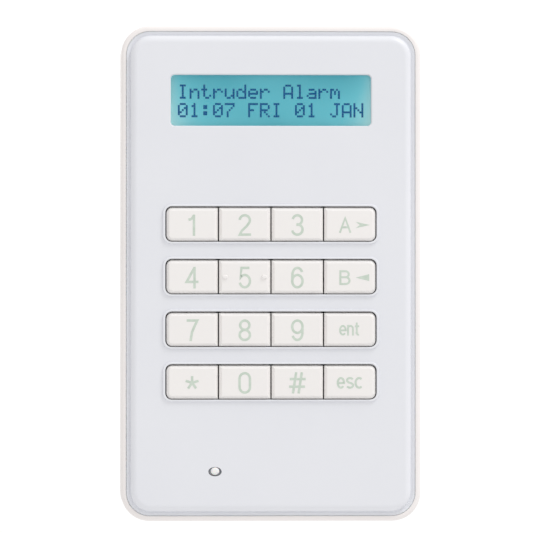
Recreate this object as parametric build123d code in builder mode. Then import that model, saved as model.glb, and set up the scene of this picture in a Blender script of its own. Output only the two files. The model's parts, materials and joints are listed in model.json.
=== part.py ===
from build123d import *
import math
import os

os.makedirs("parts", exist_ok=True)

# Alarm keypad panel: a tray that is screwed to the wall, and a front that hangs on the tray's
# top rim and carries the display, the sixteen keys and the electronics.  Millimetres.
# X runs to the right of a person facing the panel, Z up and Y into the wall.  The back face
# lies on Y = 0, so anything "at level h" stands h out from the wall, at Y = -h.

# ---- Case -----------------------------------------------------------------------------
case_width = 91.0
case_height = 150.0
case_corner = 8.8
floor_level = 2.2
seat_level = 24.0
ledge_level = 27.5
rim_level = 28.2
fascia_inner_level = 27.8
fascia_level = 30.0
rear_draft = 0.55
rim_round = 1.0
rim_inner_round = 0.12
back_chamfer = 0.4
rim_opening_width = 87.5
rim_opening_height = 146.5
rim_opening_corner = 7.25
ledge_reach = 0.3
cavity_width = rim_opening_width - 2 * ledge_reach
cavity_height = rim_opening_height - 2 * ledge_reach
cavity_corner = rim_opening_corner - ledge_reach

# ---- Front ----------------------------------------------------------------------------
rim_gap = 0.2
front_width = rim_opening_width - 2 * rim_gap
front_height = rim_opening_height - 2 * rim_gap
front_corner = rim_opening_corner - rim_gap
edge_level = 28.15
edge_back_level = 27.75
skirt_gap = 0.25
skirt_width = cavity_width - 2 * skirt_gap
skirt_height = cavity_height - 2 * skirt_gap
skirt_corner = cavity_corner - skirt_gap
front_wall = 2.0
moat_level = 27.8
moat_start = 0.05
moat_foot = 1.0
plateau_inset = 1.15
plateau_corner = 6.2
plateau_draft = 3.0
plateau_round = 2.0

# ---- Hinge hooks on the top edge --------------------------------------------------------
hinge_z = 73.3
hinge_xs = (-26.0, 26.0)
bead_radius = 2.0
bead_length = 7.4
hook_inner = 2.3
hook_outer = 3.5
hook_width = 6.0
hook_notch_width = 8.0
hook_notch_height = 2.4
hook_notch_drop = 1.4
hook_notch_run = 0.5
hook_wrap_start = -100
hook_wrap_sweep = 80

# ---- Wall fixing and cable entry --------------------------------------------------------
screw_hole_x = 30.15
screw_hole_z = 50.0
screw_hole_radius = 2.25
screw_pad_radius = 5.5
screw_pad_height = 1.6
cable_entry_z = 20.0
cable_entry_width = 26.0
cable_entry_height = 16.0
collar_wall = 1.4
collar_height = 1.5

# ---- Small dimensions shared by several pieces ---------------------------------------------
weld = 0.2
through_cut = 6.0
fine_round = 0.2
small_round = 0.4
housing_chamfer = 0.4
pin_hole_radius = 0.5

# ---- Display ----------------------------------------------------------------------------
display_z = 52.3
display_width = 60.5
display_height = 15.4
display_corner = 1.2
display_chamfer = 0.35
lcd_board_level = 20.6
lcd_screw_x = 37.2
lcd_screw_z = 14.2
lcd_post_radius = 2.1
window_size = (66.0, 20.0)
window_corner = 1.0
window_fit = 0.3
window_gap = 0.1
window_back_level = 26.5
window_front_level = 29.0
bezel_size = (68.0, 25.0)
bezel_opening = (62.6, 17.2)
bezel_front_level = 26.4
bezel_sheet = 0.5
bezel_corner = 1.0
glass_size = (66.6, 23.6)
glass_front_height = 20.2
glass_level = 23.9
glass_thickness = 0.95
backlight_thickness = 1.55
backlight_gap = 0.1
backlight_corner = 0.6
lcd_board_size = (78.4, 33.2)
lcd_board_corner = 1.2

# ---- Keys -------------------------------------------------------------------------------
key_pitch = 15.88
key_width = 15.5
key_height = 10.0
key_corner = 1.7
key_rows_top_z = 14.84
key_bevel = 0.85
key_bevel_depth = 1.05
key_top_level = 30.95
key_skirt_level = 25.0
key_wall = 1.1
key_roof = 1.5
key_travel = 1.0
row_width = 63.8
row_height = 10.7
row_corner = 2.0
row_rise = 0.1
lip_width = 65.35
lip_height = 11.9
lip_corner = 2.6
lip_rise = 0.5
lip_root = 0.5
lip_round = 0.25
nib_x = 5.9
nib_size = (0.85, 0.6)
nib_rise = 0.45
nib_round = 0.3
key_labels = (
    ("1", "2", "3", "a"),
    ("4", "5", "6", "b"),
    ("7", "8", "9", "ent"),
    ("star", "0", "hash", "esc"),
)

# ---- Status light -----------------------------------------------------------------------
status_x = -16.9
status_z = -59.8
status_hole = (2.0, 1.4)
status_pipe = (1.35, 1.2)
status_pipe_lift = 0.18
status_collar = (1.9, 1.3)

# ---- Main board -------------------------------------------------------------------------
board_back_level = 17.0
board_thickness = 1.6
board_front_level = board_back_level + board_thickness
board_width = 79.6
board_height = 135.0
board_corner = 2.5
board_z = 0.5
board_screw_x = 37.0
board_screw_zs = (29.0, -18.0, -62.0)
boss_radius = 2.8
gusset_size = (3.4, 1.4)
gusset_shift = 2.4
gusset_back_level = board_front_level + 2.0
pilot_radius = 1.05
pilot_depth = 8.4
screw_shank_radius = 0.97
screw_clearance_radius = 1.45
header_z = 66.0
header_pitch = 2.54
header_width = 2.5
header_count = 16
pin_side = 0.64
pin_tail = 1.4
pin_tip = 1.0

# ---- Keymat -----------------------------------------------------------------------------
web_thickness = 1.2
web_width = 67.2
web_height = 61.4
web_corner = 3.0
web_z = -8.88
collar_radius = 4.5
plunger_radius = 3.2
plunger_hole_radius = 3.5
plunger_bottom_level = board_front_level + key_travel + 0.05
stem_level = 24.9

# ---- Parts behind the main board --------------------------------------------------------
terminal_x = 13.0
terminal_z = -3.0
terminal_pitch = 5.0
terminal_back_level = 8.6
address_x = 24.0
address_z = -29.0
tamper_x = 18.0
tamper_z = -48.0
tamper_post_level = 11.0
sounder_z = -50.0


def level(height):
    """Sketch plane parallel to the wall, this far out from it; local x is X and local y is Z."""
    return Plane.XZ.offset(height)


def save(piece, label):
    """Names a finished piece and writes it as its own file."""
    piece.part.label = label
    export_step(piece.part, "parts/" + label + ".step")


def key_x(column):
    """Centre of a key across the panel; column 0 is on the left."""
    return (column - 1.5) * key_pitch


def key_z(row):
    """Centre of a key up the panel; row 0 is the top row."""
    return key_rows_top_z - row * key_pitch


row_centres = [(0, key_z(row) + row_rise) for row in range(4)]
key_centres = [(key_x(column), key_z(row)) for row in range(4) for column in range(4)]
board_screw_centres = [(side * board_screw_x, z) for side in (-1, 1) for z in board_screw_zs]
gusset_centres = [(math.copysign(board_screw_x + gusset_shift, x), z) for x, z in board_screw_centres]
lcd_screw_centres = [
    (side * lcd_screw_x, display_z + end * lcd_screw_z) for side in (-1, 1) for end in (-1, 1)
]

# ---- Rear case: the tray that is screwed to the wall ------------------------------------
rib_reach = 2.8
rib_thickness = 1.6
side_rib_x = 42.6
side_rib_zs = (-56.0, -20.0, 16.0, 52.0)
end_rib_z = 72.1
end_rib_x = 20.0
knockout_width = 14.0
knockout_height = 10.0
knockout_cut = 1.0
knockout_sill = 0.5
bead_trim = 0.2
post_foot_radius = 3.4
post_radius = 2.4
post_foot_height = 1.8
pad_sink = 0.5
collar_corner = 3.2
cable_entry_corner = 2.0

with BuildPart() as rear_case:
    with BuildSketch(level(0)):
        RectangleRounded(case_width, case_height, case_corner)
    extrude(amount=rim_level, taper=rear_draft)
    fillet(rear_case.faces().sort_by(Axis.Y)[0].edges(), rim_round)
    chamfer(rear_case.faces().sort_by(Axis.Y)[-1].edges(), back_chamfer)
    with BuildSketch(level(floor_level)):
        RectangleRounded(cavity_width, cavity_height, cavity_corner)
    extrude(amount=rim_level, mode=Mode.SUBTRACT)
    # The rim's opening is wider than the cavity: its ledge closes the gap round the front.
    with BuildSketch(level(ledge_level)):
        RectangleRounded(rim_opening_width, rim_opening_height, rim_opening_corner)
    extrude(amount=rim_level - ledge_level + 1, mode=Mode.SUBTRACT)
    fillet(rear_case.faces().sort_by(Axis.Y)[0].inner_wires()[0].edges(), rim_inner_round)

    # Ribs along the walls: the front's skirt sits on their ends.
    with BuildSketch(level(floor_level - pad_sink)):
        with Locations(*[(side * side_rib_x, z) for side in (-1, 1) for z in side_rib_zs]):
            Rectangle(rib_reach, rib_thickness)
        with Locations((0, end_rib_z), (-end_rib_x, -end_rib_z), (end_rib_x, -end_rib_z)):
            Rectangle(rib_thickness, rib_reach)
    extrude(amount=seat_level - floor_level + pad_sink)

    # Pads round the wall screws, and a low collar round the cable entry.
    with BuildSketch(level(floor_level - pad_sink)):
        with GridLocations(2 * screw_hole_x, 2 * screw_hole_z, 2, 2):
            Circle(screw_pad_radius)
    extrude(amount=screw_pad_height + pad_sink)
    with BuildSketch(level(floor_level - pad_sink)):
        with Locations((0, cable_entry_z)):
            RectangleRounded(
                cable_entry_width + 2 * collar_wall, cable_entry_height + 2 * collar_wall, collar_corner
            )
    extrude(amount=collar_height + pad_sink)
    with BuildSketch(level(-1)):
        with GridLocations(2 * screw_hole_x, 2 * screw_hole_z, 2, 2):
            Circle(screw_hole_radius)
        with Locations((0, cable_entry_z)):
            RectangleRounded(cable_entry_width, cable_entry_height, cable_entry_corner)
    extrude(amount=floor_level + 4, mode=Mode.SUBTRACT)

    # Thinned patch in the bottom wall that can be broken out for a surface cable.
    with BuildSketch(level(floor_level + knockout_sill)):
        with Locations((0, -cavity_height / 2)):
            Rectangle(knockout_width, 2 * knockout_cut)
    extrude(amount=knockout_height, mode=Mode.SUBTRACT)

    # Post that holds the tamper switch pressed while the front is shut.
    with BuildSketch(level(floor_level - pad_sink)):
        with Locations((tamper_x, tamper_z)):
            Circle(post_foot_radius)
    extrude(amount=post_foot_height + pad_sink)
    with BuildSketch(level(floor_level)):
        with Locations((tamper_x, tamper_z)):
            Circle(post_radius)
    extrude(amount=tamper_post_level - floor_level)

    # Beads under the top ledge that the front's hooks turn on: sectors of a round bar whose
    # centre line, the hinge axis, lies in the plane of the rim.
    for hinge_x in hinge_xs:
        with BuildSketch(Plane.YZ.offset(hinge_x - bead_length / 2)):
            with Locations((-rim_level, hinge_z)):
                Circle(bead_radius)
            with Locations((-ledge_level + bead_radius, hinge_z - bead_radius + bead_trim)):
                Rectangle(2 * bead_radius, 2 * bead_radius, mode=Mode.INTERSECT)
        extrude(amount=bead_length)
save(rear_case, "rear_case")

# ---- Front case: fascia with a moat round it, skirt and hinge hooks ---------------------
with BuildPart() as front_case:
    with BuildSketch(level(edge_back_level)):
        RectangleRounded(front_width, front_height, front_corner)
    extrude(amount=edge_level - edge_back_level)
    # The moat slopes inwards from the edge to the foot of the raised fascia.
    with BuildSketch(level(moat_level)):
        RectangleRounded(
            front_width - 2 * moat_foot, front_height - 2 * moat_foot, front_corner - moat_foot
        )
    with BuildSketch(level(edge_level)):
        RectangleRounded(
            front_width - 2 * moat_start, front_height - 2 * moat_start, front_corner - moat_start
        )
    loft(mode=Mode.SUBTRACT)
    with BuildSketch(level(edge_back_level)):
        RectangleRounded(
            front_width - 2 * plateau_inset, front_height - 2 * plateau_inset, plateau_corner
        )
    extrude(amount=fascia_level - edge_back_level, taper=plateau_draft)
    fillet(front_case.faces().sort_by(Axis.Y)[0].edges(), plateau_round)
    with BuildSketch(level(seat_level)):
        RectangleRounded(skirt_width, skirt_height, skirt_corner)
    extrude(amount=edge_back_level - seat_level)
    with BuildSketch(level(seat_level)):
        RectangleRounded(
            front_width - 2 * front_wall, front_height - 2 * front_wall, front_corner - front_wall
        )
    extrude(amount=fascia_inner_level - seat_level, mode=Mode.SUBTRACT)

    # Display opening with a fine chamfer.
    with BuildSketch(level(fascia_inner_level - 1)):
        with Locations((0, display_z)):
            RectangleRounded(display_width, display_height, display_corner)
    extrude(amount=through_cut, mode=Mode.SUBTRACT)
    chamfer(front_case.faces().sort_by(Axis.Y)[0].inner_wires()[0].edges(), display_chamfer)

    # One raised lip and one through slot for each row of keys.
    with BuildSketch(level(fascia_level - lip_root)):
        with Locations(*row_centres):
            RectangleRounded(lip_width, lip_height, lip_corner)
    extrude(amount=lip_rise + lip_root)
    with BuildSketch(level(fascia_inner_level - 1)):
        with Locations(*row_centres):
            RectangleRounded(row_width, row_height, row_corner)
        with Locations((status_x, status_z)):
            Ellipse(*status_hole)
    extrude(amount=through_cut, mode=Mode.SUBTRACT)
    lip_faces = front_case.faces().filter_by(Axis.Y).group_by(Axis.Y)[0]
    fillet(lip_faces.edges(), lip_round)

    # Hooks that wrap the beads of the rear case.  The skirt is notched to let them through.
    for hinge_x in hinge_xs:
        with BuildSketch(Plane.YZ.offset(hinge_x - hook_notch_width / 2)):
            with Locations((-(seat_level + edge_back_level - hook_notch_run) / 2, hinge_z - hook_notch_drop)):
                Rectangle(edge_back_level - seat_level + hook_notch_run, hook_notch_height)
        extrude(amount=hook_notch_width, mode=Mode.SUBTRACT)
        with BuildSketch(Plane.YZ.offset(hinge_x - hook_width / 2)):
            with BuildLine():
                centre = (-rim_level, hinge_z)
                outer = CenterArc(centre, hook_outer, hook_wrap_start, hook_wrap_sweep)
                inner = CenterArc(centre, hook_inner, hook_wrap_start, hook_wrap_sweep)
                Line(outer @ 0, inner @ 0)
                Line(outer @ 1, inner @ 1)
            make_face()
        extrude(amount=hook_width)
save(front_case, "front_case")

# Bosses for the main board, each with a gusset, and posts for the display board.  They are
# moulded in one with the front case and kept apart from its shell.
with BuildPart() as front_posts:
    with BuildSketch(level(board_front_level)):
        with Locations(*board_screw_centres):
            Circle(boss_radius)
    extrude(amount=fascia_inner_level - board_front_level)
    with BuildSketch(level(gusset_back_level)):
        with Locations(*gusset_centres):
            Rectangle(*gusset_size)
    extrude(amount=fascia_inner_level - gusset_back_level)
    with BuildSketch(level(lcd_board_level + board_thickness)):
        with Locations(*lcd_screw_centres):
            Circle(lcd_post_radius)
    extrude(amount=fascia_inner_level - lcd_board_level - board_thickness)
    with BuildSketch(level(board_front_level)):
        with Locations(*board_screw_centres):
            Circle(pilot_radius)
        with Locations(*lcd_screw_centres):
            Circle(pilot_radius)
    extrude(amount=pilot_depth, mode=Mode.SUBTRACT)
save(front_posts, "front_posts")

# ---- Display: window, frame, glass, light guide and board --------------------------------
lcd_front_level = lcd_board_level + board_thickness

with BuildPart() as lcd_window:
    with BuildSketch(level(window_back_level)):
        with Locations((0, display_z)):
            RectangleRounded(*window_size, window_corner)
    extrude(amount=fascia_inner_level - window_back_level - window_gap)
    with BuildSketch(level(window_back_level)):
        with Locations((0, display_z)):
            RectangleRounded(
                display_width - window_fit, display_height - window_fit, display_corner - window_fit / 2
            )
    extrude(amount=window_front_level - window_back_level)
    fillet(lcd_window.faces().sort_by(Axis.Y)[0].edges(), fine_round)
save(lcd_window, "lcd_window")

with BuildPart() as lcd_bezel:
    with BuildSketch(level(lcd_front_level)):
        with Locations((0, display_z)):
            RectangleRounded(*bezel_size, bezel_corner)
    extrude(amount=bezel_front_level - lcd_front_level)
    fillet(lcd_bezel.faces().sort_by(Axis.Y)[0].edges(), small_round)
    with BuildSketch(level(lcd_front_level)):
        with Locations((0, display_z)):
            RectangleRounded(
                bezel_size[0] - 2 * bezel_sheet,
                bezel_size[1] - 2 * bezel_sheet,
                bezel_corner - bezel_sheet,
            )
    extrude(amount=bezel_front_level - lcd_front_level - bezel_sheet, mode=Mode.SUBTRACT)
    with BuildSketch(level(lcd_front_level)):
        with Locations((0, display_z)):
            RectangleRounded(*bezel_opening, bezel_corner)
    extrude(amount=through_cut, mode=Mode.SUBTRACT)
save(lcd_bezel, "lcd_bezel")

with BuildPart() as lcd_glass:
    with BuildSketch(level(glass_level)):
        with Locations((0, display_z)):
            Rectangle(*glass_size)
    extrude(amount=glass_thickness)
    with BuildSketch(level(glass_level + glass_thickness)):
        with Locations((0, display_z)):
            Rectangle(glass_size[0], glass_front_height)
    extrude(amount=glass_thickness)
save(lcd_glass, "lcd_glass")

with BuildPart() as lcd_backlight:
    with BuildSketch(level(lcd_front_level + backlight_gap)):
        with Locations((0, display_z)):
            RectangleRounded(*glass_size, backlight_corner)
    extrude(amount=backlight_thickness)
save(lcd_backlight, "lcd_backlight")

header_xs = [(place - (header_count - 1) / 2) * header_pitch for place in range(header_count)]
header_places = [(x, header_z) for x in header_xs]

with BuildPart() as lcd_board:
    with BuildSketch(level(lcd_board_level)):
        with Locations((0, display_z)):
            RectangleRounded(*lcd_board_size, lcd_board_corner)
        with Locations(*lcd_screw_centres):
            Circle(screw_clearance_radius, mode=Mode.SUBTRACT)
        with Locations(*header_places):
            Circle(pin_hole_radius, mode=Mode.SUBTRACT)
    extrude(amount=board_thickness)
save(lcd_board, "lcd_board")

with BuildPart() as lcd_header:
    with BuildSketch(level(board_front_level)):
        with Locations((0, header_z)):
            Rectangle(header_count * header_pitch, header_width)
        with Locations(*header_places):
            Rectangle(pin_side, pin_side, mode=Mode.SUBTRACT)
    extrude(amount=lcd_board_level - board_front_level)
save(lcd_header, "lcd_header")

with BuildPart() as lcd_header_pins:
    with BuildSketch(level(board_back_level - pin_tail)):
        with Locations(*header_places):
            Rectangle(pin_side, pin_side)
    extrude(amount=lcd_front_level - board_back_level + pin_tail + pin_tip)
save(lcd_header_pins, "lcd_header_pins")

# ---- Main board and its screws ------------------------------------------------------------
with BuildPart() as main_board:
    with BuildSketch(level(board_back_level)):
        with Locations((0, board_z)):
            RectangleRounded(board_width, board_height, board_corner)
        with Locations(*board_screw_centres):
            Circle(screw_clearance_radius, mode=Mode.SUBTRACT)
        with Locations(*header_places):
            Circle(pin_hole_radius, mode=Mode.SUBTRACT)
    extrude(amount=board_thickness)
save(main_board, "main_board")

# Ten identical pan-head screws: six hold the main board and four the display board.
head_radius = 2.5
head_height = 1.6
head_round = 0.6
shank_length = 7.2
lcd_shank_length = 5.2
cross_length = 2.8
slot_width = 0.6
slot_depth = 0.9
screw_places = [(x, z, board_back_level) for x, z in board_screw_centres]
screw_places += [(x, z, lcd_board_level) for x, z in lcd_screw_centres]

with BuildPart() as board_screws:
    for x, z, under_head in screw_places:
        with BuildSketch(level(under_head - head_height)):
            with Locations((x, z)):
                Circle(head_radius)
        extrude(amount=head_height)
    heads = board_screws.faces().filter_by(Axis.Y)
    fillet(heads.group_by(Axis.Y)[-1].edges() + heads.group_by(Axis.Y)[-3].edges(), head_round)
    for x, z, under_head in screw_places:
        with BuildSketch(level(under_head)):
            with Locations((x, z)):
                Circle(screw_shank_radius)
        extrude(amount=shank_length if under_head == board_back_level else lcd_shank_length)
        with BuildSketch(level(under_head - head_height)):
            with Locations((x, z)):
                Rectangle(cross_length, slot_width)
                Rectangle(slot_width, cross_length)
        extrude(amount=slot_depth, mode=Mode.SUBTRACT)
save(board_screws, "board_screws")

# ---- Keymat: a silicone sheet with a collar round each plunger -----------------------------
collar_length = 3.4
led_size = (2.0, 1.25)
led_lens = (1.3, 1.1)
led_layer = 0.4
led_window = (3.2, 2.4)
led_places = [(x, key_z(row) - key_pitch / 2) for row in range(3) for x in (-key_pitch, 0, key_pitch)]

with BuildPart() as keymat:
    with BuildSketch(level(board_front_level)):
        with Locations((0, web_z)):
            RectangleRounded(web_width, web_height, web_corner)
    extrude(amount=web_thickness)
    with BuildSketch(level(board_front_level)):
        with Locations(*key_centres):
            Circle(collar_radius)
    extrude(amount=collar_length)
    fillet(keymat.faces().filter_by(Axis.Y).group_by(Axis.Y)[0].edges(), small_round)
    with BuildSketch(level(board_front_level - 1)):
        with Locations(*key_centres):
            Circle(plunger_hole_radius)
        with Locations(*led_places):
            Rectangle(*led_window)
    extrude(amount=through_cut, mode=Mode.SUBTRACT)
save(keymat, "keymat")

with BuildPart() as key_leds:
    with BuildSketch(level(board_front_level)):
        with Locations(*led_places):
            Rectangle(*led_size)
    extrude(amount=led_layer)
    with BuildSketch(level(board_front_level + led_layer)):
        with Locations(*led_places):
            Rectangle(*led_lens)
    extrude(amount=led_layer)
save(key_leds, "key_leds")

# ---- Keys: a hard cap and a silicone plunger for each ---------------------------------------
key_inner_corner = 0.8
flange_reach = 1.2
flange_setback = 0.5
flange_back_level = 26.3
flange_front_level = 27.5
stem_radius = 2.0
pill_radius = 2.2
pill_height = 0.8

for row in range(4):
    for column in range(4):
        label = key_labels[row][column]
        centre = (key_x(column), key_z(row))
        with BuildPart() as cap:
            with BuildSketch(level(key_skirt_level)) as cap_outline:
                with Locations(centre):
                    Rectangle(key_width, key_height)
                if column == 0:
                    fillet(cap_outline.vertices().group_by(Axis.X)[0], key_corner)
                if column == 3:
                    fillet(cap_outline.vertices().group_by(Axis.X)[-1], key_corner)
            extrude(amount=key_top_level - key_skirt_level)
            key_top = cap.faces().sort_by(Axis.Y)[0]
            chamfer(key_top.edges(), key_bevel, key_bevel_depth, reference=key_top)
            fillet(cap.faces().sort_by(Axis.Y)[0].edges(), fine_round)
            with BuildSketch(level(key_skirt_level)):
                with Locations(centre):
                    RectangleRounded(
                        key_width - 2 * key_wall, key_height - 2 * key_wall, key_inner_corner
                    )
            extrude(amount=key_top_level - key_roof - key_skirt_level, mode=Mode.SUBTRACT)
            # Flanges above and below catch behind the fascia.
            with BuildSketch(level(flange_back_level)):
                with Locations(
                    (centre[0], centre[1] + key_height / 2 + flange_reach / 2 - weld),
                    (centre[0], centre[1] - key_height / 2 - flange_reach / 2 + weld),
                ):
                    Rectangle(key_width - 2 * flange_setback, flange_reach + 2 * weld)
            extrude(amount=flange_front_level - flange_back_level)
            # Stem that stands on the plunger.
            with BuildSketch(level(stem_level)):
                with Locations(centre):
                    Circle(stem_radius)
            extrude(amount=key_top_level - key_roof - stem_level + weld)
            if label == "5":
                with BuildSketch(level(key_top_level - weld)):
                    with Locations((centre[0] - nib_x, centre[1]), (centre[0] + nib_x, centre[1])):
                        Ellipse(*nib_size)
                extrude(amount=nib_rise + weld)
                fillet(cap.faces().filter_by(Axis.Y).group_by(Axis.Y)[0].edges(), nib_round)
        save(cap, "key_" + label)

        with BuildPart() as plunger:
            with BuildSketch(level(plunger_bottom_level)):
                with Locations(centre):
                    Circle(pill_radius)
            extrude(amount=pill_height)
            with BuildSketch(level(plunger_bottom_level + pill_height)):
                with Locations(centre):
                    Circle(plunger_radius)
            extrude(amount=stem_level - plunger_bottom_level - pill_height)
            fillet(plunger.faces().sort_by(Axis.Y)[0].edges(), small_round)
        save(plunger, "plunger_" + label)

# ---- Status light: a small LED and the light pipe above it -----------------------------------
pipe_foot_level = 20.2
pipe_foot_thickness = 1.0
pipe_top_level = 30.25
pipe_dome = 0.8
pipe_collar_back_level = 28.2
pipe_collar_front_level = 29.2
pipe_foot_size = (7.0, 4.0)
pipe_foot_corner = 0.8
pipe_leg_x = 2.6
pipe_leg_radius = 0.7
status_led_base = (3.2, 1.6)
status_led_base_height = 0.5
status_led_lens = (2.0, 1.4)
status_led_lens_corner = 0.3
status_led_lens_height = 0.7

with BuildPart() as status_light_pipe:
    with BuildSketch(level(pipe_foot_level)):
        with Locations((status_x, status_z)):
            RectangleRounded(*pipe_foot_size, pipe_foot_corner)
    extrude(amount=pipe_foot_thickness)
    with BuildSketch(level(pipe_foot_level)):
        with Locations((status_x, status_z + status_pipe_lift)):
            Ellipse(*status_pipe)
    extrude(amount=pipe_top_level - pipe_foot_level)
    fillet(status_light_pipe.faces().sort_by(Axis.Y)[0].edges(), pipe_dome)
    # Collar that centres the pipe in its hole.
    with BuildSketch(level(pipe_collar_back_level)):
        with Locations((status_x, status_z)):
            Ellipse(*status_collar)
    extrude(amount=pipe_collar_front_level - pipe_collar_back_level)
    with BuildSketch(level(board_front_level)):
        with Locations((status_x - pipe_leg_x, status_z), (status_x + pipe_leg_x, status_z)):
            Circle(pipe_leg_radius)
    extrude(amount=pipe_foot_level - board_front_level + weld)
save(status_light_pipe, "status_light_pipe")

with BuildPart() as status_led:
    with BuildSketch(level(board_front_level)):
        with Locations((status_x, status_z)):
            Rectangle(*status_led_base)
    extrude(amount=status_led_base_height)
    with BuildSketch(level(board_front_level + status_led_base_height)):
        with Locations((status_x, status_z)):
            RectangleRounded(*status_led_lens, status_led_lens_corner)
    extrude(amount=status_led_lens_height)
save(status_led, "status_led")

# ---- Sounder ---------------------------------------------------------------------------------
sounder_back_level = 9.5
sounder_radius = 7.0
sounder_round = 0.8
sounder_port_radius = 1.3
sounder_port_depth = 2.0

with BuildPart() as sounder:
    with BuildSketch(level(sounder_back_level)):
        with Locations((0, sounder_z)):
            Circle(sounder_radius)
    extrude(amount=board_back_level - sounder_back_level)
    fillet(sounder.faces().sort_by(Axis.Y)[-1].edges(), sounder_round)
    with BuildSketch(level(sounder_back_level)):
        with Locations((0, sounder_z)):
            Circle(sounder_port_radius)
    extrude(amount=sounder_port_depth, mode=Mode.SUBTRACT)
save(sounder, "sounder")

# ---- Terminal block for the four bus wires -----------------------------------------------------
wire_entry_level = 14.0
terminal_depth = 9.0
terminal_margin = 0.6
terminal_chamfer = 0.6
screw_well_radius = 1.85
screw_well_depth = 4.0
terminal_screw_radius = 1.6
terminal_screw_back_level = 9.2
terminal_screw_length = 3.3
terminal_slot_length = 3.4
wire_hole = (3.4, 7.4, 3.2)
wire_hole_shift = 1.0
clamp_outer = (3.2, 3.0)
clamp_inner = (2.4, 1.9)
clamp_length = 5.4
clamp_setback = 2.2
terminal_places = [(terminal_x + (place - 1.5) * terminal_pitch, terminal_z) for place in range(4)]

with BuildPart() as terminal_block:
    with BuildSketch(level(terminal_back_level)):
        with Locations((terminal_x, terminal_z)):
            Rectangle(4 * terminal_pitch + terminal_margin, terminal_depth)
    extrude(amount=board_back_level - terminal_back_level)
    chamfer(terminal_block.faces().sort_by(Axis.Y)[-1].edges(), terminal_chamfer)
    with BuildSketch(level(terminal_back_level)):
        with Locations(*terminal_places):
            Circle(screw_well_radius)
    extrude(amount=screw_well_depth, mode=Mode.SUBTRACT)
    for x, z in terminal_places:
        with BuildSketch(level(wire_entry_level - wire_hole[2] / 2)):
            with Locations((x, z + wire_hole_shift)):
                Rectangle(wire_hole[0], wire_hole[1])
        extrude(amount=wire_hole[2], mode=Mode.SUBTRACT)
save(terminal_block, "terminal_block")

with BuildPart() as terminal_screws:
    with BuildSketch(level(terminal_screw_back_level)):
        with Locations(*terminal_places):
            Circle(terminal_screw_radius)
    extrude(amount=terminal_screw_length)
    with BuildSketch(level(terminal_screw_back_level)):
        with Locations(*terminal_places):
            Rectangle(terminal_slot_length, slot_width)
    extrude(amount=slot_depth, mode=Mode.SUBTRACT)
save(terminal_screws, "terminal_screws")

with BuildPart() as terminal_clamps:
    for x, z in terminal_places:
        with BuildSketch(Plane.XY.offset(z - clamp_setback)):
            with Locations((x, -wire_entry_level)):
                Rectangle(*clamp_outer)
                Rectangle(*clamp_inner, mode=Mode.SUBTRACT)
        extrude(amount=clamp_length)
save(terminal_clamps, "terminal_clamps")

# ---- Rotary address switch ----------------------------------------------------------------------
address_back_level = 13.0
address_side = 10.0
rotor_radius = 3.0
rotor_clearance = 0.06
rotor_length = 3.2
rotor_bore_depth = 3.0
rotor_proud = 0.3
arrow_length = 4.6
arrow_width = 0.8
arrow_head = 1.0
arrow_head_shift = 1.9

with BuildPart() as address_switch_body:
    with BuildSketch(level(address_back_level)):
        with Locations((address_x, address_z)):
            Rectangle(address_side, address_side)
    extrude(amount=board_back_level - address_back_level)
    chamfer(address_switch_body.faces().sort_by(Axis.Y)[-1].edges(), housing_chamfer)
    with BuildSketch(level(address_back_level)):
        with Locations((address_x, address_z)):
            Circle(rotor_radius + rotor_clearance)
    extrude(amount=rotor_bore_depth, mode=Mode.SUBTRACT)
save(address_switch_body, "address_switch_body")

with BuildPart() as address_switch_rotor:
    with BuildSketch(level(address_back_level - rotor_proud)):
        with Locations((address_x, address_z)):
            Circle(rotor_radius)
    extrude(amount=rotor_length)
    with BuildSketch(level(address_back_level - rotor_proud)):
        with Locations((address_x, address_z)):
            Rectangle(arrow_width, arrow_length)
        with Locations((address_x, address_z + arrow_head_shift)):
            RegularPolygon(arrow_head, 3, rotation=90)
    extrude(amount=slot_depth, mode=Mode.SUBTRACT)
save(address_switch_rotor, "address_switch_rotor")

# ---- Tamper switch --------------------------------------------------------------------------------
tamper_back_level = 13.0
tamper_side = 6.2
tamper_bore_radius = 1.57
tamper_bore_depth = 3.4
tamper_leg = (9.2, 0.8)
tamper_leg_z = 2.2
tamper_leg_thickness = 0.3
tamper_plunger_radius = 1.5
tamper_plunger_length = 4.2
tamper_gap = 0.05

with BuildPart() as tamper_switch_body:
    with BuildSketch(level(tamper_back_level)):
        with Locations((tamper_x, tamper_z)):
            Rectangle(tamper_side, tamper_side)
    extrude(amount=board_back_level - tamper_back_level)
    chamfer(tamper_switch_body.faces().sort_by(Axis.Y)[-1].edges(), housing_chamfer)
    with BuildSketch(level(tamper_back_level)):
        with Locations((tamper_x, tamper_z)):
            Circle(tamper_bore_radius)
    extrude(amount=tamper_bore_depth, mode=Mode.SUBTRACT)
    with BuildSketch(level(board_back_level - tamper_leg_thickness)):
        with Locations((tamper_x, tamper_z + tamper_leg_z), (tamper_x, tamper_z - tamper_leg_z)):
            Rectangle(*tamper_leg)
    extrude(amount=tamper_leg_thickness)
save(tamper_switch_body, "tamper_switch_body")

with BuildPart() as tamper_plunger:
    with BuildSketch(level(tamper_post_level + tamper_gap)):
        with Locations((tamper_x, tamper_z)):
            Circle(tamper_plunger_radius)
    extrude(amount=tamper_plunger_length)
    fillet(tamper_plunger.faces().sort_by(Axis.Y)[-1].edges(), small_round)
save(tamper_plunger, "tamper_plunger")

# ---- Circuit parts ----------------------------------------------------------------------------------
chip_standoff = 0.15
chip_chamfer = 0.2
lead_thickness = 0.2
lead_height = 1.1
shoulder_centre = 0.35
shoulder_length = 0.9
drop_centre = 0.7
foot_centre = 1.0
foot_length = 0.8


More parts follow.
